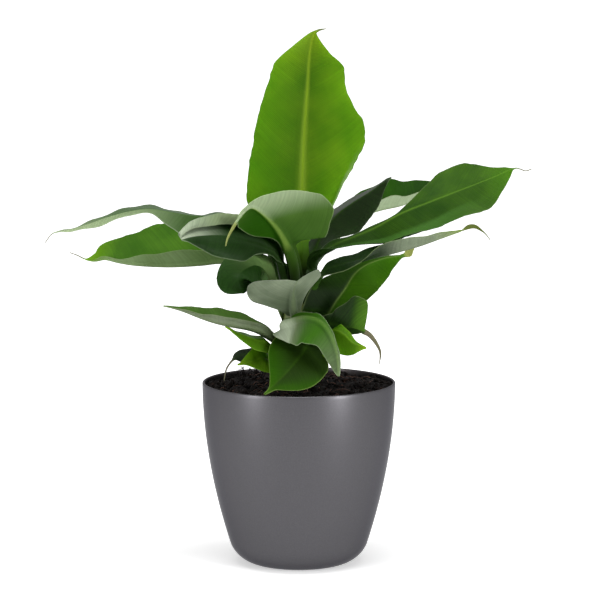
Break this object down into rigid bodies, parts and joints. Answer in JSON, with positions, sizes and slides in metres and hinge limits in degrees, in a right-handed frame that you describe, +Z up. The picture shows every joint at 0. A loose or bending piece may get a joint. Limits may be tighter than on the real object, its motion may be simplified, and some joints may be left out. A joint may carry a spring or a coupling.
{
  "type": "potted banana plant",
  "caption": "Young banana plant with broad arching and hanging leaves on a short pale stem, standing in a round tapered dark grey plastic pot of soil.",
  "frame": {"origin": "centre of the pot's flat base, on the surface that it stands on", "axes": "+Z up along the pot's axis, +X to the right and -Y towards the viewer of the plant's front"},
  "size_m": [0.4941, 0.2612, 0.5536],
  "materials": {
    "pot_plastic": "fine satin, anthracite grey",
    "potting_soil": "moist dark potting soil with fibres",
    "stem": "smooth waxy pale green sheaths",
    "leaf": "smooth green leaf with a pale waxy underside",
    "young_leaf": "smooth yellow-green young leaf"
  },
  "bodies": {
    "root": {"pot": "pot_plastic", "soil": "potting_soil", "pseudostem": "stem", "leaf_top": "young_leaf", "leaf_front_arch": "leaf", "leaf_left_long": "leaf", "leaf_left_boat": "leaf", "leaf_left_keeled": "leaf", "leaf_left_round": "leaf", "leaf_front_grey": "leaf", "leaf_right_dark": "leaf", "leaf_right_back": "leaf", "leaf_right_large": "leaf", "leaf_right_narrow": "leaf", "leaf_right_lower": "leaf", "leaf_right_hanging": "leaf", "leaf_left_narrow": "leaf", "leaf_left_bright": "young_leaf", "leaf_left_short": "young_leaf", "leaf_left_small": "leaf", "leaf_front_low": "leaf", "leaf_front_curl": "leaf", "leaf_right_small": "young_leaf"}
  },
  "joints": []
}
